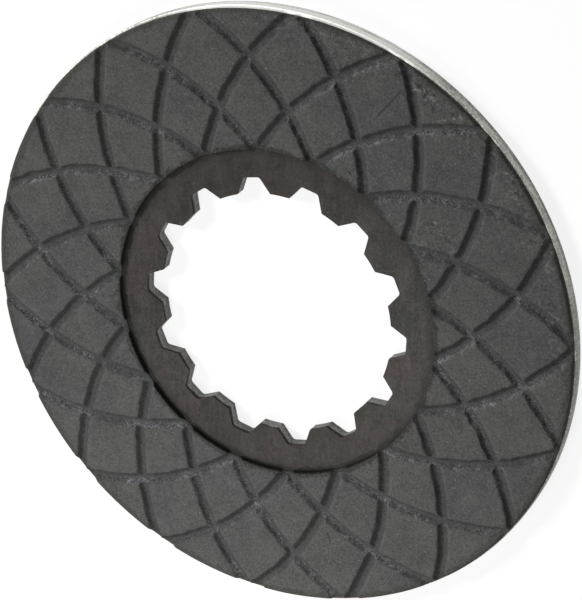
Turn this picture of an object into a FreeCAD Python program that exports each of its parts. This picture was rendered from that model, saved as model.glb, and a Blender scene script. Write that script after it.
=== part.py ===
import FreeCAD, Part
import math
import os
import Sketcher

# Brake disc: a blanked steel core with internal spline teeth, and one ring of friction lining
# bonded to its front face. It lies flat with the lining up. The origin is on the axis of the
# spline, at the bottom face of the core. Lengths are in mm and angles in degrees.

SIZES = {
    # steel core
    "plate_diameter": 178.0,
    "plate_thickness": 4.0,
    "plate_edge_chamfer": 0.3,
    # internal spline: straight-sided spaces between the teeth
    "tooth_count": 14,
    "tooth_tip_diameter": 71.3,
    "tooth_height": 4.6,
    "space_mouth_width": 10.2,
    "space_root_width": 5.2,
    "root_corner_radius": 0.7,
    "tip_corner_radius": 0.25,
    # turn of the core against the pattern of the lining
    "core_turn": 12.0,
    # friction lining
    "lining_margin": 0.25,
    "lining_inner_diameter": 97.0,
    "lining_thickness": 1.3,
    "lining_edge_chamfer": 0.3,
    # grooves: each follows a circle set off centre, which crosses the ring twice
    "groove_circle_count": 18,
    "groove_circle_radius": 80.1,
    "groove_circle_offset": 63.85,
    "groove_mouth_width": 3.5,
    "groove_floor_width": 2.0,
    "lining_under_groove": 0.3,
    # how far a cutting outline runs past the face that it opens on
    "cut_overrun": 1.0,
}

FULL_TURN = 360
MATCH = 0.01

# the numbers by which a sketch knows its own origin and the points of a line or circle
ORIGIN_POINT = (-1, 1)
LINE_START = 1
LINE_END = 2
CENTRE = 3

doc = FreeCAD.newDocument("BrakeDisc")
sheet = doc.addObject("Spreadsheet::Sheet", "Sizes")
for row, (alias, value) in enumerate(SIZES.items(), start=1):
    sheet.set(f"A{row}", alias)
    sheet.set(f"B{row}", str(value))
    sheet.setAlias(f"B{row}", alias)
doc.recompute()


def value_of(expression):
    return float(sheet.evalExpression(expression))


def new_body(name):
    body = doc.addObject("PartDesign::Body", name)
    body.Label = name
    return body


def origin_item(body, role):
    return next(item for item in body.Origin.OriginFeatures if item.Role == role)


def new_sketch(body, name, plane):
    sketch = body.newObject("Sketcher::SketchObject", name)
    sketch.AttachmentSupport = (origin_item(body, plane), [""])
    sketch.MapMode = "FlatFace"
    return sketch


def hold(sketch, name, kind, *geometry, expression):
    """Adds a constraint whose size follows an expression."""
    constraint = Sketcher.Constraint(kind, *geometry, value_of(expression))
    index = sketch.addConstraint(constraint)
    sketch.renameConstraint(index, name)
    sketch.setExpression(f"Constraints.{name}", expression)


def draw_circle(sketch, name, diameter):
    """A circle about the sketch's origin."""
    circle = Part.Circle()
    circle.Radius = value_of(diameter) / 2
    index = sketch.addGeometry(circle, False)
    sketch.addConstraint(Sketcher.Constraint("Coincident", index, CENTRE, *ORIGIN_POINT))
    hold(sketch, name, "Diameter", index, expression=diameter)


def draw_outline(sketch, corners):
    """A closed outline of straight lines, each corner held across and up from the origin."""
    points = [FreeCAD.Vector(value_of(across), value_of(up), 0) for across, up in corners.values()]
    next_points = points[1:] + points[:1]
    lines = [sketch.addGeometry(Part.LineSegment(*ends), False) for ends in zip(points, next_points)]
    for line, next_line in zip(lines, lines[1:] + lines[:1]):
        joint = Sketcher.Constraint("Coincident", line, LINE_END, next_line, LINE_START)
        sketch.addConstraint(joint)
    for line, (name, (across, up)) in zip(lines, corners.items()):
        corner = ORIGIN_POINT + (line, LINE_START)
        hold(sketch, name + "_across", "DistanceX", *corner, expression=across)
        hold(sketch, name + "_up", "DistanceY", *corner, expression=up)


def pad_ring(body, name, outer_diameter, inner_diameter, thickness):
    sketch = new_sketch(body, name + "_outline", "XY_Plane")
    draw_circle(sketch, "outer", outer_diameter)
    draw_circle(sketch, "inner", inner_diameter)
    pad = body.newObject("PartDesign::Pad", name)
    pad.Profile = sketch
    pad.setExpression("Length", thickness)
    doc.recompute()
    return pad


def pattern_about_axis(body, feature, name, count):
    pattern = body.newObject("PartDesign::PolarPattern", name)
    pattern.Originals = [feature]
    pattern.Axis = (origin_item(body, "Z_Axis"), [""])
    pattern.Angle = FULL_TURN
    pattern.setExpression("Occurrences", count)
    body.Tip = pattern
    doc.recompute()
    return pattern


def radius_at(vertex):
    return math.hypot(vertex.X, vertex.Y)


def upright_edges(shape, radius):
    """Names of the edges that run parallel to the axis at one radius."""
    names = []
    for number, edge in enumerate(shape.Edges, start=1):
        ends = edge.Vertexes
        at_radius = all(abs(radius_at(end) - radius) < MATCH for end in ends)
        upright = len(ends) == 2 and abs(edge.tangentAt(edge.FirstParameter).z) > 1 - MATCH
        if at_radius and upright:
            names.append(f"Edge{number}")
    return names


def round_edges(shape, radius, lowest=-math.inf):
    """Names of the full circles of one radius about the axis, from a given height up."""
    names = []
    for number, edge in enumerate(shape.Edges, start=1):
        if not isinstance(edge.Curve, Part.Circle):
            continue
        centre = edge.Curve.Center
        on_axis = math.hypot(centre.x, centre.y) < MATCH
        if on_axis and abs(edge.Curve.Radius - radius) < MATCH and centre.z > lowest:
            names.append(f"Edge{number}")
    return names


def dress_edges(body, kind, name, edges, size_property, size_name):
    """Rounds or chamfers named edges of the body as it stands."""
    base = body.Tip
    dressing = body.newObject("PartDesign::" + kind, name)
    dressing.Base = (base, edges)
    dressing.setExpression(size_property, size_name)
    body.Tip = dressing
    doc.recompute()
    return dressing


def chord_reach(radius, chord):
    """Distance from the axis to the middle of a chord of a circle."""
    return f"sqrt(({radius}) ^ 2 - ({chord} / 2) ^ 2)"


def make_core():
    """The steel core: a flat ring with teeth cut into its bore, all edges left by the blanking die."""
    body = new_body("splined_core")
    ring = pad_ring(
        body, "plate", "Sizes.plate_diameter", "Sizes.tooth_tip_diameter", "Sizes.plate_thickness"
    )
    body.Tip = ring

    # one space between two teeth, cut outwards from the bore
    tip_radius = "Sizes.tooth_tip_diameter / 2"
    root_radius = "Sizes.tooth_tip_diameter / 2 + Sizes.tooth_height"
    mouth_at = chord_reach(tip_radius, "Sizes.space_mouth_width")
    root_at = chord_reach(root_radius, "Sizes.space_root_width")
    flank_slope = f"(Sizes.space_mouth_width - Sizes.space_root_width) / 2 / ({root_at} - {mouth_at})"
    inside_half = f"Sizes.space_mouth_width / 2 + Sizes.cut_overrun * {flank_slope}"
    root_half = "Sizes.space_root_width / 2"
    inside_at = f"{mouth_at} - Sizes.cut_overrun"
    space = new_sketch(body, "tooth_space_outline", "XY_Plane")
    draw_outline(space, {
        "inside_right": (inside_at, f"-({inside_half})"),
        "root_right": (root_at, f"-({root_half})"),
        "root_left": (root_at, root_half),
        "inside_left": (inside_at, inside_half),
    })
    cut = body.newObject("PartDesign::Pocket", "tooth_space")
    cut.Profile = space
    cut.Type = "ThroughAll"
    cut.Midplane = True
    doc.recompute()
    pattern_about_axis(body, cut, "tooth_spaces", "Sizes.tooth_count")

    root_edges = upright_edges(body.Shape, value_of(root_radius))
    dress_edges(body, "Fillet", "root_corners", root_edges, "Radius", "Sizes.root_corner_radius")
    tip_edges = upright_edges(body.Shape, value_of(tip_radius))
    dress_edges(body, "Fillet", "tip_corners", tip_edges, "Radius", "Sizes.tip_corner_radius")
    rim_edges = round_edges(body.Shape, value_of("Sizes.plate_diameter / 2"))
    dress_edges(body, "Chamfer", "rim_edges", rim_edges, "Size", "Sizes.plate_edge_chamfer")

    body.Placement.Rotation = FreeCAD.Rotation(FreeCAD.Vector(0, 0, 1), value_of("Sizes.core_turn"))
    body.setExpression("Placement.Rotation.Angle", "Sizes.core_turn")
    return body


def make_lining():
    """The friction lining: one moulded ring with two mirrored families of curved grooves."""
    body = new_body("friction_lining")
    outer_diameter = "Sizes.plate_diameter - 2 * Sizes.lining_margin"
    ring = pad_ring(
        body, "ring", outer_diameter, "Sizes.lining_inner_diameter", "Sizes.lining_thickness"
    )
    body.Tip = ring
    face_height = value_of("Sizes.lining_thickness")
    front_edges = []
    for diameter in (outer_diameter, "Sizes.lining_inner_diameter"):
        front_edges += round_edges(body.Shape, value_of(diameter) / 2, lowest=face_height / 2)
    dress_edges(body, "Chamfer", "front_edges", front_edges, "Size", "Sizes.lining_edge_chamfer")

    # the section of a groove, turned about the middle of its own circle
    depth = "(Sizes.lining_thickness - Sizes.lining_under_groove)"
    wall_slope = f"(Sizes.groove_mouth_width - Sizes.groove_floor_width) / 2 / {depth}"
    above_half = f"(Sizes.groove_mouth_width / 2 + Sizes.cut_overrun * {wall_slope})"
    floor_half = "Sizes.groove_floor_width / 2"
    middle = "(Sizes.groove_circle_offset - Sizes.groove_circle_radius)"
    above = "Sizes.lining_thickness + Sizes.cut_overrun"
    floor = "Sizes.lining_under_groove"
    section = new_sketch(body, "groove_section", "XZ_Plane")
    draw_outline(section, {
        "floor_outer": (f"{middle} - {floor_half}", floor),
        "floor_inner": (f"{middle} + {floor_half}", floor),
        "above_inner": (f"{middle} + {above_half}", above),
        "above_outer": (f"{middle} - {above_half}", above),
    })
    axis_foot = FreeCAD.Vector(value_of("Sizes.groove_circle_offset"), 0, 0)
    axis_top = axis_foot + FreeCAD.Vector(0, face_height, 0)
    axis = section.addGeometry(Part.LineSegment(axis_foot, axis_top), True)
    axis_start = ORIGIN_POINT + (axis, LINE_START)
    section.addConstraint(Sketcher.Constraint("Vertical", axis))
    section.addConstraint(Sketcher.Constraint("PointOnObject", axis, LINE_START, -1))
    hold(section, "circle_offset", "DistanceX", *axis_start, expression="Sizes.groove_circle_offset")
    hold(section, "axis_length", "DistanceY", axis, expression="Sizes.lining_thickness")
    groove = body.newObject("PartDesign::Groove", "groove")
    groove.Profile = section
    groove.ReferenceAxis = (section, ["Axis0"])
    groove.Angle = FULL_TURN
    doc.recompute()
    pattern_about_axis(body, groove, "grooves", "Sizes.groove_circle_count")

    body.setExpression("Placement.Base.z", "Sizes.plate_thickness")
    return body


def check_cut(body, cut_name):
    """A cut that points away from the ring removes nothing, so the volumes are compared."""
    cut = doc.getObject(cut_name)
    before = cut.BaseFeature.Shape.Volume
    removed = before - cut.Shape.Volume
    print(f"{body.Label}: {cut_name} removes {removed:.1f} of {before:.1f} mm3")
    if removed <= 0:
        raise RuntimeError(f"{cut_name} cuts nothing")


def check_document(bodies):
    for item in doc.Objects:
        if "Invalid" in item.State or "Error" in item.State:
            raise RuntimeError(f"{item.Name} failed: {item.State}")
    for body in bodies:
        if body.Shape.isNull() or not body.Shape.isValid():
            raise RuntimeError(f"{body.Label} has no valid shape")
        if len(body.Shape.Solids) != 1:
            raise RuntimeError(f"{body.Label} is not one solid")


core = make_core()
lining = make_lining()
doc.recompute()
check_document([core, lining])
check_cut(core, "tooth_space")
check_cut(lining, "groove")

os.makedirs("parts", exist_ok=True)
for body in (core, lining):
    body.Shape.exportStep(f"parts/{body.Label}.step")
    box = body.Shape.BoundBox
    print(f"{body.Label}: {box.XLength:.2f} x {box.YLength:.2f} x {box.ZLength:.2f} mm, "
          f"{body.Shape.Volume:.0f} mm3, {len(body.Shape.Faces)} faces")
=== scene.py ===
import math

import bpy
import numpy as np
from mathutils import Matrix, Vector


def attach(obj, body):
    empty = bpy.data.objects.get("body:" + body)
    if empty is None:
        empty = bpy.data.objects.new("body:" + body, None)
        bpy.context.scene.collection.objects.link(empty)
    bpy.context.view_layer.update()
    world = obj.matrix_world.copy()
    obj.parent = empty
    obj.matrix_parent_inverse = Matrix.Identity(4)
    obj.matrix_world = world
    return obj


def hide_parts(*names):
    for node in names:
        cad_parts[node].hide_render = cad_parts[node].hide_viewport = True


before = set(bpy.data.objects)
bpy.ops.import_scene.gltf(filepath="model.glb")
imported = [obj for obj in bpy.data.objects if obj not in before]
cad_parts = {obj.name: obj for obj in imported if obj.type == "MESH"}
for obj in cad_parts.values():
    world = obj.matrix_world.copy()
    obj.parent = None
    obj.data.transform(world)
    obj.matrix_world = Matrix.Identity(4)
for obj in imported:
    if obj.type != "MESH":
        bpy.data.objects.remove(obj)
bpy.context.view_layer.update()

# The disc lies flat with its lining up. Its own measures are in millimetres and become metres
# where a mesh is made. The axis of the bore is at 0, 0 and the floor is at height 0.
MILLIMETRE = 0.001
METRE = 1000.0
FULL_TURN = 2 * math.pi

# Steel core
PLATE_RADIUS = 89.0
PLATE_THICKNESS = 4.0
TOOTH_COUNT = 14
TOOTH_TIP_RADIUS = 35.65
TOOTH_HEIGHT = 4.6
SPACE_MOUTH_WIDTH = 10.2
SPACE_ROOT_WIDTH = 5.2
ROOT_CORNER_RADIUS = 1.1
TIP_CORNER_RADIUS = 0.3
CORE_TURN = math.radians(12.0)

# Steps along half of one space between two teeth
ROOT_STEPS = 4
ROOT_CORNER_STEPS = 5
FLANK_STEPS = 8
TIP_CORNER_STEPS = 4
TIP_STEPS = 8

# Rows of points on the core's two faces: circles, then three rows that turn into the teeth
FRONT_CIRCLES = (88.5, 88.0, 80.0, 64.0, 52.0, 48.0)
BACK_CIRCLES = (48.0, 56.0, 66.0, 76.0, 84.0, 88.0)
INNERMOST_CIRCLE = 48.0
SHARES_TO_TEETH = (0.25, 0.5, 0.75)
FACE_INSET = 0.24

# Rows of points on the cut walls: how far back from the outline, how high, how bare the steel
# is, and whether it tore. The punch pulls in the top edge, shears the upper part smooth, tears
# the lower part and leaves a small burr.
BORE_WALL = [
    (0.24, 3.996, 0.0, False),
    (0.12, 3.97, 0.2, False),
    (0.05, 3.91, 0.7, False),
    (0.01, 3.8, 1.0, False),
    (0.0, 3.6, 1.0, False),
    (0.0, 2.2, 1.0, False),
    (0.03, 1.8, 1.0, True),
    (0.06, 1.2, 1.0, True),
    (0.05, 0.6, 1.0, True),
    (0.06, 0.12, 0.9, False),
    (0.12, 0.03, 0.3, False),
    (0.24, 0.0, 0.0, False),
]
RIM_WALL = [
    (0.5, 0.0, 0.0, False),
    (0.28, 0.01, 0.2, False),
    (0.12, 0.08, 0.7, False),
    (0.06, 0.2, 1.0, False),
    (0.06, 0.8, 1.0, True),
    (0.05, 1.4, 1.0, True),
    (0.0, 2.0, 1.0, False),
    (0.0, 3.0, 1.0, False),
    (0.0, 3.65, 1.0, False),
    (0.03, 3.83, 1.0, False),
    (0.08, 3.93, 0.8, False),
    (0.18, 3.985, 0.3, False),
]
BORE_TEAR = 0.04
RIM_TEAR = 0.03

# Friction lining
LINING_OUTER_RADIUS = 88.75
LINING_INNER_RADIUS = 48.5
LINING_THICKNESS = 1.3
FACE_HEIGHT = PLATE_THICKNESS + LINING_THICKNESS
OUTER_ROUNDING = 1.0
OUTER_DROP = 0.65
INNER_ROUNDING = 0.35
ROUNDING_TURNS = np.radians([20, 40, 60, 76, 90])
RAGGED_EDGE = 0.06

# The lining was bonded a little off the middle and leaves a bare strip of steel on one side.
STRIP_TURN = math.radians(-80.0)
STRIP_SPREAD = math.radians(38.0)
STRIP_WIDTH = 0.75

# Grooves: each follows a circle about a centre that is set off the axis. Where the two
# families meet on the ring, the second circle is turned on by 5 to 10 grooves.
GROOVE_COUNT = 18
GROOVE_PITCH = FULL_TURN / GROOVE_COUNT
GROOVE_CIRCLE_RADIUS = 80.1
GROOVE_CIRCLE_OFFSET = 63.85
GROOVE_DEPTH = 1.12
NEAREST_MEETING = 5
FURTHEST_MEETING = 10
LAND_STEPS = 22
EDGE_HALVINGS = 30

# How deep a groove is, as a share of its depth, at distances from its middle line
GROOVE_SECTION = [
    (0.0, 1.0),
    (0.38, 0.975),
    (0.68, 0.91),
    (0.95, 0.79),
    (1.18, 0.59),
    (1.4, 0.34),
    (1.6, 0.13),
    (1.78, 0.03),
    (2.05, 0.0),
]

# How uneven the moulded face, the groove floors, the groove walls and their crumbled edges are
FACE_WAVE = 0.012
FLOOR_WAVE = 0.05
WALL_WAVE = 0.14
CRUMBLED_EDGE = 0.3

# How far the grooves wander sideways, over which distance, and the seeds for x and for y
WANDER = [(0.17, 4.0, 7, 9), (0.18, 1.5, 8, 10)]
WANDER_FREE_FROM_EDGE = 2.0

# Directions in the plane of the disc
# The groove walls that face away from this direction carry light dust as a painted highlight
DUST_AND_HIGHLIGHT_SIDE = (-0.05, 0.998)
NEAR_SIDE = (-0.495, -0.869, 0)
FAR_SIDE = (0.495, 0.869, 0)
# painted shade: the steel is darkened towards both extremes along this direction
SHADED_ENDS = (0.435, -0.900, 0)
UPWARD = (0, 0, 1)
ROLLING_DIRECTION = (math.cos(math.radians(-75.2)), math.sin(math.radians(-75.2)))

# Where the face is rubbed most: middle and size
RUBBED_PLACES = [
    ((-24.5, -81.9), 5.0),
    ((-34.4, -79.1), 2.0),
    ((-12.8, -50.4), 4.0),
    ((-39.5, -43.8), 8.0),
    ((-54.4, -67.5), 4.5),
]

# Scratches on the face: start, end and width
SCRATCHES = [
    ((-13.1, -67.9), (-19.0, -80.7), 0.3),
    ((-33.2, 57.8), (-35.4, 60.8), 0.35),
]

# Studio, in metres, degrees and watts. Lamps: azimuth, elevation, distance, size, power
FLOOR_HALF_WIDTH = 3.0
SOFT_LIGHT = 0.15
LAMPS = {
    "key_light": (-9.0, 35.0, 2.0, 0.5, 36.0),
    "fill_light": (93.0, 51.0, 0.27, 0.16, 0.38),
}
CAMERA_PLACE = Vector((-0.193474, -0.339755, 0.558377))
CAMERA_AIM = Vector((-0.004269, -0.007324, 0.005386))
CAMERA_ROLL = math.radians(-129.935)
CAMERA_LENS = 145.715
CAMERA_CLIP_START = 0.05


def unevenness(across, up, grain, seed):
    """Smooth seeded bumps between -1 and 1, about one grain apart."""
    lattice = np.random.default_rng(seed).uniform(-1, 1, (256, 256))
    x, y = across / grain + 101.3, up / grain + 57.7
    column, row = np.floor(x).astype(int), np.floor(y).astype(int)
    fx, fy = x - column, y - row
    fx, fy = fx * fx * (3 - 2 * fx), fy * fy * (3 - 2 * fy)
    corner = [[lattice[(row + j) % 256, (column + i) % 256] for i in (0, 1)] for j in (0, 1)]
    lower = corner[0][0] * (1 - fx) + corner[0][1] * fx
    upper = corner[1][0] * (1 - fx) + corner[1][1] * fx
    return lower * (1 - fy) + upper * fy


def make_piece(name, points, faces, measures):
    """A smooth mesh from points in millimetres. Measures are numbers kept for each point."""
    mesh = bpy.data.meshes.new(name)
    mesh.from_pydata((np.asarray(points) * MILLIMETRE).tolist(), [], faces)
    for label, values in measures.items():
        layer = mesh.attributes.new(label, "FLOAT", "POINT")
        layer.data.foreach_set("value", np.asarray(values, dtype=np.float32))
    mesh.update()
    mesh.shade_smooth()
    piece = bpy.data.objects.new(name, mesh)
    bpy.context.scene.collection.objects.link(piece)
    return piece


# Friction lining


def groove_lines(side):
    """The lines of one family from groove to groove: turn of the circle's centre, how much
    larger its radius is, and how deep the groove is there. The two families are mirrored, so
    side is 1 for the one whose radius grows along the turn and -1 for the other."""
    section = [(-away, share) for away, share in reversed(GROOVE_SECTION[1:])] + GROOVE_SECTION
    shoulder = GROOVE_SECTION[-1][0]
    turns, growths, depths = [], [], []
    for groove in range(GROOVE_COUNT):
        for away, share in section:
            turns.append(groove * GROOVE_PITCH)
            growths.append(side * away)
            depths.append(share)
        for step in range(1, LAND_STEPS):
            share = step / LAND_STEPS
            turns.append((groove + share) * GROOVE_PITCH)
            growths.append(side * shoulder * (1 - 2 * share))
            depths.append(0.0)
    return np.array(turns), np.array(growths), np.array(depths)


def crossing(first_turn, first_growth, second_turn, second_growth):
    """Where a circle of the first family meets one of the second, on the ring between them."""
    first_x = GROOVE_CIRCLE_OFFSET * np.cos(first_turn)
    first_y = GROOVE_CIRCLE_OFFSET * np.sin(first_turn)
    apart_x = GROOVE_CIRCLE_OFFSET * np.cos(second_turn) - first_x
    apart_y = GROOVE_CIRCLE_OFFSET * np.sin(second_turn) - first_y
    apart = np.hypot(apart_x, apart_y)
    apart_x, apart_y = apart_x / apart, apart_y / apart
    first_radius = GROOVE_CIRCLE_RADIUS + first_growth
    second_radius = GROOVE_CIRCLE_RADIUS + second_growth
    along = (first_radius ** 2 - second_radius ** 2 + apart ** 2) / (2 * apart)
    aside = np.sqrt(np.maximum(first_radius ** 2 - along ** 2, 0))
    return (
        first_x + along * apart_x + aside * apart_y,
        first_y + along * apart_y - aside * apart_x,
    )


def ring_faces(x, y, faces):
    """Keeps the faces between the two edges of the ring and cuts those that cross an edge.
    Returns the faces, and for each new point the two points it lies between and its share."""
    radius = np.hypot(x, y)
    limits = (LINING_INNER_RADIUS + INNER_ROUNDING, LINING_OUTER_RADIUS - OUTER_ROUNDING)
    inside = (radius >= limits[0]) & (radius <= limits[1])
    count = inside[faces].sum(axis=1)
    kept = faces[count == 4].tolist()
    cuts, made = {}, []

    def cut_between(first, second):
        low, high = min(first, second), max(first, second)
        if (low, high) not in cuts:
            limit = limits[0] if min(radius[low], radius[high]) < limits[0] else limits[1]
            across, up = x[high] - x[low], y[high] - y[low]
            start, reach = 0.0, 1.0
            for _ in range(EDGE_HALVINGS):
                middle = (start + reach) / 2
                at = np.hypot(x[low] + across * middle, y[low] + up * middle)
                if (at > limit) == (radius[low] > limit):
                    start = middle
                else:
                    reach = middle
            cuts[low, high] = len(x) + len(made)
            made.append((low, high, middle))
        return cuts[low, high]

    for face in faces[(count > 0) & (count < 4)].tolist():
        outline = []
        for point, following in zip(face, face[1:] + face[:1]):
            if inside[point]:
                outline.append(point)
            if inside[point] != inside[following]:
                outline.append(cut_between(point, following))
        kept.append(outline)
    return kept, made


def open_rims(faces, radius):
    """The points on the ring's open edges, as an outer and an inner list."""
    uses = {}
    for face in faces:
        for first, second in zip(face, face[1:] + face[:1]):
            edge = (min(first, second), max(first, second))
            uses[edge] = uses.get(edge, 0) + 1
    rim = {point for edge, count in uses.items() if count == 1 for point in edge}
    between = (LINING_OUTER_RADIUS + LINING_INNER_RADIUS) / 2
    outer = [point for point in rim if radius[point] > between]
    inner = [point for point in rim if radius[point] <= between]
    return outer, inner


def band_faces(first, second):
    """Faces between two closed rows of points of the same length."""
    return list(zip(first, first[1:] + first[:1], second[1:] + second[:1], second))


def closing_faces(outer, outer_turns, inner, inner_turns):
    """Triangles between two closed rows of points of different length, in order of turn."""
    faces = []
    i = j = 0
    while i < len(outer) or j < len(inner):
        next_outer = outer_turns[i + 1] if i + 1 < len(outer) else outer_turns[0] + FULL_TURN
        next_inner = inner_turns[j + 1] if j + 1 < len(inner) else inner_turns[0] + FULL_TURN
        at_outer, at_inner = outer[i % len(outer)], inner[j % len(inner)]
        if j >= len(inner) or (i < len(outer) and next_outer <= next_inner):
            faces.append((at_outer, at_inner, outer[(i + 1) % len(outer)]))
            i += 1
        else:
            faces.append((at_inner, inner[(j + 1) % len(inner)], at_outer))
            j += 1
    return faces


def dust_and_highlight_share(x, y, turns, growths, depths):
    """How much light dust and painted highlight lies in the grooves of one family: most on the
    wall that faces away from the given direction, in those grooves that run across that
    direction."""
    away_x = x - GROOVE_CIRCLE_OFFSET * np.cos(turns)
    away_y = y - GROOVE_CIRCLE_OFFSET * np.sin(turns)
    toward = (away_x * DUST_AND_HIGHLIGHT_SIDE[0] + away_y * DUST_AND_HIGHLIGHT_SIDE[1]) / (GROOVE_CIRCLE_RADIUS + growths)
    side = np.clip(0.15 + 0.7 * growths * np.sign(toward), 0, 1)
    return np.clip((np.abs(toward) - 0.4) / 0.35, 0, 1) * side * np.clip(depths * 4, 0, 1)


def bare_strip(turns):
    """How far the lining stops short of its outer circle."""
    away = np.abs((turns - STRIP_TURN + math.pi) % FULL_TURN - math.pi) / STRIP_SPREAD
    return STRIP_WIDTH * np.exp(-away ** 2)


def groove_net():
    """The ring between its two edges, on a net of points that follows both families of
    grooves, so that every groove has clean walls and every crossing is mitred. Returns the
    points' x, y, share of groove depth and share of dust and painted highlight, and the faces."""
    first_turns, first_growths, first_depths = groove_lines(1)
    second_turns, second_growths, second_depths = groove_lines(-1)
    size = len(first_turns)
    nearest = NEAREST_MEETING * size // GROOVE_COUNT
    furthest = FURTHEST_MEETING * size // GROOVE_COUNT
    wide = furthest - nearest
    column = np.arange(size)[:, None]
    row = column + np.arange(nearest, furthest)[None, :]
    first = (first_turns[column], first_growths[column])
    second = (second_turns[row % size] + FULL_TURN * (row // size), second_growths[row % size])
    x, y = crossing(*first, *second)
    depth = np.maximum(first_depths[column], second_depths[row % size])
    dust = np.maximum(
        dust_and_highlight_share(x, y, *first, first_depths[column]),
        dust_and_highlight_share(x, y, *second, second_depths[row % size]),
    )

    def point_at(at_column, at_row):
        """The number of a point, with the columns closed into a ring."""
        turn, around = at_column // size, at_column % size
        return around * wide + at_row - turn * size - around - nearest

    columns, steps = np.meshgrid(np.arange(size), np.arange(1, wide - 1), indexing="ij")
    rows = columns + nearest + steps
    faces = np.stack([
        point_at(columns, rows),
        point_at(columns + 1, rows),
        point_at(columns + 1, rows + 1),
        point_at(columns, rows + 1),
    ], axis=-1).reshape(-1, 4)
    x, y, depth, dust = x.ravel(), y.ravel(), depth.ravel(), dust.ravel()
    kept, made = ring_faces(x, y, faces)
    low, high, share = (np.array(values) for values in zip(*made))
    used = np.unique(np.concatenate([np.array(face) for face in kept]))
    x, y, depth, dust = (
        np.concatenate([values, values[low] + (values[high] - values[low]) * share])[used]
        for values in (x, y, depth, dust)
    )
    number = np.zeros(used[-1] + 1, dtype=int)
    number[used] = np.arange(len(used))
    return x, y, depth, dust, [number[np.array(face)].tolist() for face in kept]


def moulded_height(x, y, depth):
    """The height of the face, a little uneven and with crumbled groove edges."""
    wall = 4 * depth * (1 - depth)
    edge = np.clip(depth * 12, 0, 1) * (1 - depth)
    height = FACE_HEIGHT - FACE_WAVE - GROOVE_DEPTH * depth
    height += FACE_WAVE * unevenness(x, y, 5.0, 3)
    height += FLOOR_WAVE * depth * unevenness(x, y, 1.2, 4)
    height -= CRUMBLED_EDGE * edge * np.clip(unevenness(x, y, 1.0, 5), 0, 1)
    height += WALL_WAVE * wall * unevenness(x, y, 1.1, 6)
    return height


def wandered(x, y):
    """The points moved a little sideways, except along the ring's two edges."""
    radius = np.hypot(x, y)
    from_outer = LINING_OUTER_RADIUS - OUTER_ROUNDING - radius
    from_inner = radius - LINING_INNER_RADIUS - INNER_ROUNDING
    free = np.clip(from_outer / WANDER_FREE_FROM_EDGE, 0, 1)
    free *= np.clip(from_inner / WANDER_FREE_FROM_EDGE, 0, 1)
    across = sum(far * unevenness(x, y, grain, seed) for far, grain, seed, _ in WANDER)
    up = sum(far * unevenness(x, y, grain, seed) for far, grain, _, seed in WANDER)
    return x + free * across, y + free * up


def make_lining():
    """The grooved face, its two rounded and ragged edges and its flat back."""
    x, y, depth, dust, faces = groove_net()
    height = moulded_height(x, y, depth)
    x, y = wandered(x, y)
    outer, inner = open_rims(faces, np.hypot(x, y))
    points, depths, dusts_and_highlights = [np.stack([x, y, height], axis=1)], [depth], [dust]
    total = len(x)
    feet = []
    for rim, rounding, furthest_drop, end_radius, outward in (
        (outer, OUTER_ROUNDING, OUTER_DROP, LINING_OUTER_RADIUS, 1),
        (inner, INNER_ROUNDING, INNER_ROUNDING, LINING_INNER_RADIUS, -1),
    ):
        rim = sorted(rim, key=lambda point: math.atan2(y[point], x[point]))
        turns = np.arctan2(y[rim], x[rim])
        tops = height[rim]
        drop = np.minimum(furthest_drop, 0.8 * (tops - PLATE_THICKNESS))
        ragged = 0.5 + 0.5 * unevenness(turns * end_radius, tops * 0, 1.4, 11 + outward)
        trimmed = RAGGED_EDGE * ragged + (bare_strip(turns) if outward > 0 else 0)
        rows = [(math.sin(turn), tops - drop * (1 - math.cos(turn))) for turn in ROUNDING_TURNS]
        rows.append((1.0, np.full(len(rim), PLATE_THICKNESS)))
        previous = rim
        for out, level in rows:
            reach = end_radius - outward * (rounding * (1 - out) + trimmed * out)
            points.append(np.stack([reach * np.cos(turns), reach * np.sin(turns), level], axis=1))
            depths.append(depth[rim])
            dusts_and_highlights.append(dust[rim])
            following = list(range(total, total + len(rim)))
            total += len(rim)
            band = (previous, following) if outward < 0 else (following, previous)
            faces += band_faces(*band)
            previous = following
        feet += [previous, turns]
    faces += closing_faces(*feet)
    measures = {"groove": np.concatenate(depths), "dust_and_highlight_mask": np.concatenate(dusts_and_highlights)}
    piece = make_piece("friction_ring", np.concatenate(points), faces, measures)
    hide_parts("friction_lining")
    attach(piece, "root")
    return piece


# Steel core


def rounded(before, corner, after, radius, steps):
    """Points of the arc that rounds a corner between two straight runs."""
    to_before, to_after = (before - corner).normalized(), (after - corner).normalized()
    half = to_before.angle(to_after) / 2
    middle = corner + (to_before + to_after).normalized() * (radius / math.sin(half))
    start = corner + to_before * (radius / math.tan(half)) - middle
    end = corner + to_after * (radius / math.tan(half)) - middle
    turn = start.angle_signed(end)
    points = []
    for step in range(steps + 1):
        arm = start.copy()
        arm.rotate(Matrix.Rotation(-turn * step / steps, 2))
        points.append(middle + arm)
    return points


def straight(start, end, steps):
    """Points between two ends, without the ends."""
    return [start.lerp(end, step / steps) for step in range(1, steps)]


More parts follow.
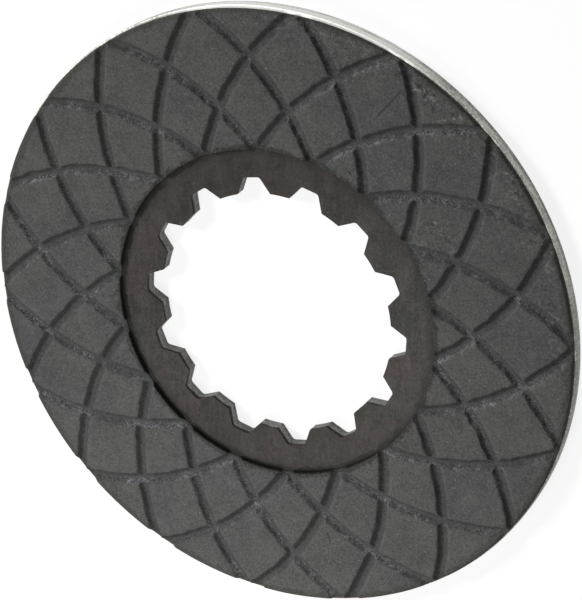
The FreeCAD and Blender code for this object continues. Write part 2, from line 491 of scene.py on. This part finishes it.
def bore_outline():
    """The toothed bore, seen from above and counter-clockwise."""
    root_radius = TOOTH_TIP_RADIUS + TOOTH_HEIGHT
    root_half, mouth_half = SPACE_ROOT_WIDTH / 2, SPACE_MOUTH_WIDTH / 2
    root = Vector((math.sqrt(root_radius ** 2 - root_half ** 2), root_half))
    mouth = Vector((math.sqrt(TOOTH_TIP_RADIUS ** 2 - mouth_half ** 2), mouth_half))
    middle = Vector((root.x, 0))
    half_pitch = math.pi / TOOTH_COUNT
    tip_turns = np.linspace(math.atan2(mouth.y, mouth.x), half_pitch, TIP_STEPS + 1)[1:]
    tip = [Vector((math.cos(turn), math.sin(turn))) * TOOTH_TIP_RADIUS for turn in tip_turns]
    root_arc = rounded(middle, root, mouth, ROOT_CORNER_RADIUS, ROOT_CORNER_STEPS)
    tip_arc = rounded(root, mouth, tip[1], TIP_CORNER_RADIUS, TIP_CORNER_STEPS)
    half = [middle] + straight(middle, root_arc[0], ROOT_STEPS) + root_arc
    half += straight(root_arc[-1], tip_arc[0], FLANK_STEPS) + tip_arc + tip[1:]
    mirrored = [Vector((point.x, -point.y)) for point in reversed(half[1:-1])]
    points = []
    for tooth in range(TOOTH_COUNT):
        turn = Matrix.Rotation(tooth * FULL_TURN / TOOTH_COUNT + CORE_TURN, 2)
        back = Matrix.Rotation((tooth + 1) * FULL_TURN / TOOTH_COUNT + CORE_TURN, 2)
        points += [turn @ point for point in half] + [back @ point for point in mirrored]
    return np.array(points)


def make_core():
    """The blanked plate: closed rows of points that run from the lining, over the teeth, down
    the wall of the bore, under the plate and up its rim."""
    bore = bore_outline()
    size = len(bore)
    turns = np.arctan2(bore[:, 1], bore[:, 0])
    along = np.roll(bore, -1, axis=0) - np.roll(bore, 1, axis=0)
    along /= np.linalg.norm(along, axis=1)[:, None]
    into_steel = np.stack([along[:, 1], -along[:, 0]], axis=1)
    circle = np.stack([np.cos(turns), np.sin(turns)], axis=1)
    rows, cut = [], []

    def add_row(flat, height, bare=0.0):
        rows.append(np.column_stack([flat, np.full(size, height)]))
        cut.append(np.full(size, bare))

    def add_circles(radii, height):
        for radius in radii:
            add_row(circle * radius, height)

    def add_rows_to_teeth(shares, height):
        teeth = bore + into_steel * FACE_INSET
        for share in shares:
            add_row(circle * INNERMOST_CIRCLE * (1 - share) + teeth * share, height)

    add_circles(FRONT_CIRCLES, PLATE_THICKNESS)
    add_rows_to_teeth(SHARES_TO_TEETH, PLATE_THICKNESS)
    tear = BORE_TEAR * unevenness(turns * 38, turns * 0, 1.1, 21)
    for inset, height, bare, torn in BORE_WALL:
        add_row(bore + into_steel * (inset + tear * torn)[:, None], height, bare)
    add_rows_to_teeth(reversed(SHARES_TO_TEETH), 0.0)
    add_circles(BACK_CIRCLES, 0.0)
    tear = np.abs(RIM_TEAR * unevenness(turns * PLATE_RADIUS, turns * 0, 1.6, 22))
    for inset, height, bare, torn in RIM_WALL:
        add_row(circle * (PLATE_RADIUS - inset - tear * torn)[:, None], height, bare)

    numbers = [list(range(row * size, (row + 1) * size)) for row in range(len(rows))]
    faces = []
    for first, second in zip(numbers, numbers[1:] + numbers[:1]):
        faces += band_faces(first, second)
    measures = {"cut": np.concatenate(cut)}
    piece = make_piece("toothed_plate", np.concatenate(rows), faces, measures)
    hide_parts("splined_core")
    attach(piece, "root")
    return piece


# Finishes


def rgb(red, green, blue):
    return (red, green, blue, 1)


class Shade:
    """A number that changes over a surface. Sums and products of it add their own nodes."""

    def __init__(self, finish, socket):
        self.finish = finish
        self.socket = socket

    def __add__(self, other):
        return self.finish.maths("ADD", self, other)

    def __radd__(self, other):
        return self.finish.maths("ADD", other, self)

    def __sub__(self, other):
        return self.finish.maths("SUBTRACT", self, other)

    def __rsub__(self, other):
        return self.finish.maths("SUBTRACT", other, self)

    def __mul__(self, other):
        return self.finish.maths("MULTIPLY", self, other)

    def __truediv__(self, other):
        return self.finish.maths("DIVIDE", self, other)

    def within(self, low, high):
        """How far the number has gone from low to high, held between 0 and 1."""
        node = self.finish.node(
            "ShaderNodeMapRange", {"interpolation_type": "SMOOTHSTEP"},
            {"Value": self, "From Min": low, "From Max": high},
        )
        return Shade(self.finish, node.outputs["Result"])


class Finish:
    """One material and its nodes."""

    def __init__(self, name):
        self.material = bpy.data.materials.new(name)
        self.material.use_nodes = True
        self.tree = self.material.node_tree
        self.tree.nodes.clear()

    def node(self, kind, settings=None, inputs=None):
        """Adds a node: its settings first, then the values or links of its sockets."""
        node = self.tree.nodes.new(kind)
        for name, value in (settings or {}).items():
            setattr(node, name, value)
        for name, value in (inputs or {}).items():
            socket = node.inputs[name]
            if isinstance(value, Shade):
                value = value.socket
            if isinstance(value, bpy.types.NodeSocket):
                self.tree.links.new(value, socket)
            else:
                socket.default_value = value
        return node

    def maths(self, operation, *values):
        """A number worked out from one or two others."""
        node = self.node("ShaderNodeMath", {"operation": operation}, dict(enumerate(values)))
        return Shade(self, node.outputs[0])

    def vector_maths(self, operation, first, second=None):
        """A vector worked out from one or two others, or its length."""
        inputs = {0: first} if second is None else {0: first, 1: second}
        return self.node("ShaderNodeVectorMath", {"operation": operation}, inputs).outputs

    def place(self):
        """The place on the piece, in metres."""
        return self.node("ShaderNodeTexCoord").outputs["Object"]

    def reach(self, place):
        """The distance from the axis of the bore, in millimetres."""
        flat = self.vector_maths("MULTIPLY", place, (METRE, METRE, 0))["Vector"]
        return Shade(self, self.vector_maths("LENGTH", flat)["Value"])

    def along(self, place, direction):
        """How far the place lies along a direction, in millimetres."""
        return Shade(self, self.vector_maths("DOT_PRODUCT", place, direction)["Value"]) * METRE

    def mark(self, place, centre, size):
        """1 at one place on the face and 0 beyond a size from it, in millimetres."""
        middle = Vector((*centre, FACE_HEIGHT)) * MILLIMETRE
        gap = Shade(self, self.vector_maths("DISTANCE", place, middle)["Value"]) * METRE
        return 1 - gap.within(size * 0.4, size)

    def scratch(self, place, start, end, width):
        """1 along a straight line on the face, in millimetres."""
        length = math.dist(start, end)
        ahead = ((end[0] - start[0]) / length, (end[1] - start[1]) / length, 0)
        aside = (-ahead[1], ahead[0], 0)
        run = self.along(place, ahead) - (start[0] * ahead[0] + start[1] * ahead[1])
        off = self.along(place, aside) - (start[0] * aside[0] + start[1] * aside[1])
        line = 1 - self.maths("ABSOLUTE", off).within(width * 0.5, width)
        return line * run.within(0.0, length * 0.2) * (1 - run.within(length * 0.8, length))

    def measure(self, name):
        """A number that the mesh keeps for each of its points."""
        node = self.node("ShaderNodeAttribute", {"attribute_name": name})
        return Shade(self, node.outputs["Fac"])

    def grain(self, place, size, detail=2.0, roughness=0.5, spread=0.0):
        """Cloudy noise whose patches are about one size across, in millimetres."""
        node = self.node("ShaderNodeTexNoise", None, {
            "Vector": place, "Scale": 1 / (size * MILLIMETRE), "Detail": detail,
            "Roughness": roughness, "Distortion": spread,
        })
        return Shade(self, node.outputs["Fac"])

    def streaks(self, place, direction, length, width, detail, roughness):
        """Cloudy noise whose patches are drawn out along a direction in the disc's plane."""
        joined = self.node("ShaderNodeCombineXYZ", None, {
            "X": self.along(place, (direction[0], direction[1], 0)) / length,
            "Y": self.along(place, (-direction[1], direction[0], 0)) / width,
            "Z": self.along(place, UPWARD) / width,
        })
        return self.grain(joined.outputs["Vector"], METRE, detail, roughness)

    def scattered(self, place, size, low, high):
        """1 near each of many scattered points about one size apart, in millimetres."""
        inputs = {"Vector": place, "Scale": 1 / (size * MILLIMETRE)}
        node = self.node("ShaderNodeTexVoronoi", None, inputs)
        return 1 - Shade(self, node.outputs["Distance"]).within(low, high)

    def blend(self, share, first, second):
        """A colour between two colours."""
        inputs = {0: share, 6: first, 7: second}
        return self.node("ShaderNodeMix", {"data_type": "RGBA"}, inputs).outputs[2]

    def cover(self, colour, layers):
        """A colour under layers of other colours, each with the share that it covers."""
        for share, tone in layers:
            colour = self.blend(share, colour, rgb(*tone))
        return colour

    def bump(self, height, distance, strength, inputs=None):
        """A normal tilted by a height of up to one distance, in millimetres."""
        sockets = {"Height": height, "Distance": distance * MILLIMETRE, "Strength": strength}
        return self.node("ShaderNodeBump", None, {**sockets, **(inputs or {})}).outputs["Normal"]

    def surface(self, inputs):
        shader = self.node("ShaderNodeBsdfPrincipled", None, inputs)
        self.node("ShaderNodeOutputMaterial", None, {"Surface": shader.outputs["BSDF"]})
        return self.material


def lining_finish():
    """Dark moulded friction material: matte, finely speckled, with dust in its grooves, painted
    shade in the grooves and along its edges, and light crumb specks laid on one groove wall as a
    painted highlight.
    """
    finish = Finish("moulded_friction_material")
    place = finish.place()
    cloud = finish.grain(place, 26.0, 3.0)
    smudge = finish.grain(place, 9.0, 3.0, 0.6)
    patch = finish.grain(place, 3.5, 4.0, 0.6)
    scuff = finish.grain(place, 2.4, 4.0, 0.7, 1.5)
    smear = finish.grain(place, 1.7, 3.0, 0.65)
    speckle = finish.grain(place, 0.55, 2.0, 0.7)
    dust = finish.grain(place, 0.55, 3.0, 0.75)
    fine = finish.grain(place, 0.3, 1.0)
    fleck = finish.scattered(place, 1.3, 0.1, 0.24)
    pit = finish.scattered(place, 1.9, 0.1, 0.22)

    groove = finish.measure("groove")
    dust_and_highlight_mask = finish.measure("dust_and_highlight_mask")
    # masks for the painted shade on the groove walls and along their feet
    wall = groove.within(0.02, 0.3) * (1 - groove.within(0.6, 0.85))
    foot = groove.within(0.45, 0.85) * (1 - groove.within(0.95, 0.995))
    crumbly = smudge.within(0.42, 0.56) * 0.75 + 0.25
    # light crumb specks: dust, laid on one groove wall as a painted highlight
    crumbs_and_highlight = (dust.within(0.47, 0.64) * 0.6 + smear.within(0.48, 0.6) * 0.45) * dust_and_highlight_mask

    reach = finish.reach(place)
    ragged_reach = reach + (patch - 0.5) * 5
    # edge bands and the inner wall, darkened below as painted shade
    rim = ragged_reach.within(86.2, 87.4)
    bore = 1 - ragged_reach.within(49.2, 50.2)
    inner_wall = 1 - reach.within(48.55, 48.9)
    near_side = finish.along(place, NEAR_SIDE).within(30.0, 70.0)
    rubbed = near_side * (reach.within(76.0, 84.0) + 1 - reach.within(50.0, 57.0))
    for centre, size in RUBBED_PLACES:
        rubbed = rubbed + finish.mark(place, centre, size) * 1.5
    scratched = finish.maths("MAXIMUM", *(finish.scratch(place, *line) for line in SCRATCHES))

    colour = finish.blend(
        cloud.within(0.35, 0.65), rgb(0.068, 0.068, 0.070), rgb(0.078, 0.078, 0.073)
    )
    colour = finish.cover(colour, [
        # the moulded material
        (smudge.within(0.5, 0.68) * 0.55, (0.094, 0.094, 0.090)),
        ((1 - smudge.within(0.34, 0.5)) * 0.5, (0.052, 0.053, 0.053)),
        (patch.within(0.5, 0.7) * 0.45, (0.090, 0.090, 0.085)),
        ((1 - patch.within(0.3, 0.48)) * 0.45, (0.050, 0.051, 0.050)),
        (speckle.within(0.48, 0.66) * 0.46, (0.12, 0.12, 0.117)),
        ((1 - speckle.within(0.34, 0.5)) * 0.46, (0.036, 0.036, 0.035)),
        (fine.within(0.5, 0.7) * 0.34, (0.125, 0.125, 0.123)),
        (fleck * fine.within(0.42, 0.6) * 0.5, (0.22, 0.22, 0.21)),
        (pit * 0.5, (0.035, 0.035, 0.033)),
        # the grooves: painted shade that deepens with their depth, on the walls, whose unrubbed
        # moulding is also darker, and along the walls' feet; dust; light crumb specks laid on one
        # wall as a painted highlight
        (groove * 0.5, (0.037, 0.038, 0.040)),
        (wall * (1 - dust_and_highlight_mask) * 0.28, (0.028, 0.028, 0.027)),
        (crumbs_and_highlight * crumbly, (0.24, 0.24, 0.255)),
        (dust.within(0.6, 0.7) * groove * crumbly * 0.25, (0.2, 0.2, 0.2)),
        (foot * (1 - dust.within(0.4, 0.62)) * 0.4, (0.02, 0.02, 0.019)),
        # wear on the face
        (rubbed * scuff.within(0.56, 0.64) * 0.4, (0.2, 0.2, 0.2)),
        (rubbed * (1 - scuff.within(0.36, 0.44)) * 0.6, (0.028, 0.028, 0.025)),
        (scratched * 0.7, (0.025, 0.025, 0.025)),
        # painted shade along the outer edge, along the inner edge, which is partly dirt too, and
        # on the inner wall; dust on both edges
        (rim * 0.6, (0.040, 0.040, 0.033)),
        (rim * dust.within(0.52, 0.64) * 0.35, (0.13, 0.13, 0.12)),
        (bore * 0.75, (0.028, 0.027, 0.024)),
        (inner_wall * 0.85, (0.012, 0.012, 0.011)),
        (bore * dust.within(0.54, 0.64) * 0.4, (0.13, 0.13, 0.12)),
    ])
    relief = finish.bump(speckle * 0.7 + fine * 0.3, 0.07, 0.7)
    crumbled = dust * (groove + rim + bore + 0.15)
    return finish.surface({
        "Base Color": colour,
        "Roughness": 0.75 + speckle * 0.2,
        "Normal": finish.bump(crumbled, 0.14, 0.7, {"Normal": relief}),
        "Specular IOR Level": 0.1,
    })


def steel_finish():
    """Blanked sheet steel: brown rolled faces with fine straight streaks, bright cut edges."""
    finish = Finish("blanked_steel")
    place = finish.place()
    streak = finish.streaks(place, ROLLING_DIRECTION, 6.0, 0.6, 3.0, 0.6)
    fine_streak = finish.streaks(place, ROLLING_DIRECTION, 2.0, 0.3, 2.0, 0.6)
    tarnish = finish.streaks(place, ROLLING_DIRECTION, 14.0, 5.0, 4.0, 0.65)
    cloud = finish.grain(place, 14.0, 4.0, 0.6)
    waver = finish.grain(place, 7.0, 3.0)
    stain = finish.grain(place, 4.0, 4.0, 0.65)
    spot = finish.grain(place, 0.6, 3.0, 0.65)
    reach = finish.reach(place)
    height = finish.along(place, UPWARD)

    # the rolled faces
    # dirt with painted shade on the steel just inside the lining's inner edge
    grime_and_shade = reach.within(45.0, 48.6) * (0.25 + stain.within(0.4, 0.6) * 0.5)
    # painted shade: the steel darker towards both extremes along one direction
    ends = finish.maths("ABSOLUTE", finish.along(place, SHADED_ENDS)).within(20.0, 40.0)
    # a painted shadow line on the steel just inside the lining's edge, strongest on the far side
    far_side = finish.along(place, FAR_SIDE).within(-30.0, 20.0)
    painted_shadow_line = (reach + (stain - 0.5) * 4).within(46.9, 47.6) * (far_side * 0.9 + 0.1)
    toward_teeth = (1 - reach.within(38.0, 41.0)) * stain.within(0.42, 0.6)
    face = finish.blend(
        cloud.within(0.42, 0.58), rgb(0.027, 0.028, 0.023), rgb(0.040, 0.031, 0.029)
    )
    face = finish.cover(face, [
        (tarnish.within(0.5, 0.66) * 0.6, (0.060, 0.053, 0.048)),
        ((1 - tarnish.within(0.34, 0.5)) * 0.6, (0.017, 0.016, 0.014)),
        (streak.within(0.45, 0.65) * 0.4, (0.058, 0.052, 0.048)),
        ((1 - fine_streak.within(0.32, 0.5)) * 0.4, (0.015, 0.013, 0.012)),
        (stain.within(0.52, 0.68) * 0.35, (0.055, 0.052, 0.047)),
        ((1 - stain.within(0.34, 0.48)) * 0.5, (0.014, 0.013, 0.011)),
        (spot.within(0.54, 0.66) * 0.4, (0.082, 0.078, 0.072)),
        ((1 - spot.within(0.32, 0.44)) * 0.5, (0.012, 0.011, 0.010)),
        (grime_and_shade, (0.014, 0.013, 0.011)),
        (ends * 0.34, (0.012, 0.011, 0.009)),
        (painted_shadow_line * 0.85, (0.005, 0.005, 0.004)),
        (toward_teeth * 0.35, (0.018, 0.017, 0.014)),
    ])

    # the rim: sheared above and torn below, with a painted highlight on the side towards the bare
    # strip; on the other side the sheared part is darkened as painted shade and the torn part set
    # to an even mid grey
    toward_strip = finish.along(place, (math.cos(STRIP_TURN), math.sin(STRIP_TURN), 0))
    bright = toward_strip.within(76.0, 87.0)
    painted_shade_side = 1 - toward_strip.within(10.0, 48.0)
    torn = 1 - (height + waver * 1.6).within(2.2, 2.6)
    upright = finish.vector_maths("MULTIPLY", place, (0.35, 0.35, 2.6))["Vector"]
    patchy = finish.grain(upright, 1.6, 4.0, 0.65).within(0.34, 0.66)
    rough_places = 1 - bright * 0.7
    sheared = finish.blend(patchy, rgb(0.29, 0.30, 0.27), rgb(0.52, 0.53, 0.47))
    sheared = finish.cover(sheared, [
        (bright * 0.9, (0.74, 0.75, 0.71)),
        (painted_shade_side * 0.75, (0.14, 0.14, 0.125)),
    ])
    broken = finish.blend(patchy, rgb(0.17, 0.17, 0.155), rgb(0.37, 0.37, 0.335))
    broken = finish.cover(broken, [
        (painted_shade_side * 0.6, (0.38, 0.38, 0.33)),
        (bright * (0.5 + patchy * 0.45), (0.70, 0.70, 0.68)),
    ])
    rim_edge = finish.cover(finish.blend(torn, sheared, broken), [
        (spot.within(0.5, 0.6) * rough_places * 0.5, (0.14, 0.14, 0.125)),
        ((1 - spot.within(0.36, 0.46)) * rough_places * 0.5, (0.62, 0.62, 0.58)),
    ])

    # the wall of the bore, with a painted dark reflection along its top
    wavering_height = height + (waver - 0.5) * 2.4 + (spot - 0.5) * 1.2
    painted_dark_reflection = wavering_height.within(3.0, 3.25) * (1 - height.within(3.94, 3.99))
    bore_edge = finish.blend(
        spot.within(0.35, 0.65), rgb(0.11, 0.11, 0.105), rgb(0.25, 0.25, 0.235)
    )
    bore_edge = finish.cover(bore_edge, [
        (stain.within(0.48, 0.6) * 0.55, (0.08, 0.078, 0.07)),
        (painted_dark_reflection * 0.92, (0.012, 0.011, 0.010)),
    ])

    edge = finish.blend(reach.within(60.0, 80.0), bore_edge, rim_edge)
    cut = finish.measure("cut").within(0.2, 0.8)
    bare = finish.maths("MAXIMUM", cut, reach.within(87.7, 87.95))
    return finish.surface({
        "Base Color": finish.blend(bare, face, edge),
        "Metallic": 0.45 + bare * 0.45,
        "Roughness": 0.55 + torn * cut * 0.15,
        "Normal": finish.bump(streak + fine_streak * 0.5 + spot * 0.5, 0.02, 0.4),
        "Specular IOR Level": 0.2,
    })


# Studio


def seen_directly(finish):
    """1 for what the camera or a gloss shows, 0 for what lights the object."""
    rays = finish.node("ShaderNodeLightPath").outputs
    return finish.maths("MAXIMUM", rays["Is Camera Ray"], rays["Is Glossy Ray"])


def make_floor():
    """A plain white floor that still takes the object's shadow."""
    half = FLOOR_HALF_WIDTH
    mesh = bpy.data.meshes.new("floor")
    corners = [(-half, -half, 0), (half, -half, 0), (half, half, 0), (-half, half, 0)]
    mesh.from_pydata(corners, [], [(0, 1, 2, 3)])
    floor = bpy.data.objects.new("floor", mesh)
    bpy.context.scene.collection.objects.link(floor)
    finish = Finish("white_floor")
    paint = finish.node("ShaderNodeBsdfDiffuse", None, {"Color": rgb(0.85, 0.85, 0.85)})
    white = finish.node("ShaderNodeEmission", None, {"Strength": 1.06})
    both = finish.node("ShaderNodeMixShader", None, {
        0: seen_directly(finish) * 0.8, 1: paint.outputs[0], 2: white.outputs[0],
    })
    finish.node("ShaderNodeOutputMaterial", None, {"Surface": both.outputs[0]})
    mesh.materials.append(finish.material)


class Sky(Finish):
    """The world's nodes, made in the same way as a material's."""

    def __init__(self):
        world = bpy.data.worlds.new("studio")
        world.use_nodes = True
        self.tree = world.node_tree
        self.tree.nodes.clear()
        bpy.context.scene.world = world


def make_lights():
    sky = Sky()
    soft_light, backdrop = (
        sky.node("ShaderNodeBackground", None, {"Color": rgb(1, 1, 1), "Strength": strength})
        for strength in (SOFT_LIGHT, 1.0)
    )
    both = sky.node("ShaderNodeMixShader", None, {
        0: seen_directly(sky), 1: soft_light.outputs[0], 2: backdrop.outputs[0],
    })
    sky.node("ShaderNodeOutputWorld", None, {"Surface": both.outputs[0]})
    for name, (azimuth, elevation, distance, size, power) in LAMPS.items():
        across, up = math.radians(azimuth), math.radians(elevation)
        toward = Vector((
            math.cos(across) * math.cos(up), math.sin(across) * math.cos(up), math.sin(up),
        ))
        lamp = bpy.data.lights.new(name, "AREA")
        lamp.shape = "DISK"
        lamp.size = size
        lamp.energy = power
        holder = bpy.data.objects.new(name, lamp)
        holder.location = toward * distance
        holder.rotation_mode = "QUATERNION"
        holder.rotation_quaternion = (-toward).to_track_quat("-Z", "Y")
        holder.visible_camera = False
        bpy.context.scene.collection.objects.link(holder)


def make_camera():
    camera = bpy.data.cameras.new("camera")
    camera.lens = CAMERA_LENS
    camera.clip_start = CAMERA_CLIP_START
    holder = bpy.data.objects.new("camera", camera)
    holder.location = CAMERA_PLACE
    holder.rotation_mode = "QUATERNION"
    level = (CAMERA_AIM - CAMERA_PLACE).to_track_quat("-Z", "Y")
    holder.rotation_quaternion = level @ Matrix.Rotation(CAMERA_ROLL, 3, "Z").to_quaternion()
    bpy.context.scene.collection.objects.link(holder)
    bpy.context.scene.camera = holder


bpy.context.scene.view_settings.view_transform = "Standard"
make_camera()
make_floor()
make_lights()
lining = make_lining()
core = make_core()
lining.data.materials.append(lining_finish())
core.data.materials.append(steel_finish())
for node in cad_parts.values():
    node.data.materials.clear()
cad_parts["friction_lining"].data.materials.append(lining.data.materials[0])
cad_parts["splined_core"].data.materials.append(core.data.materials[0])
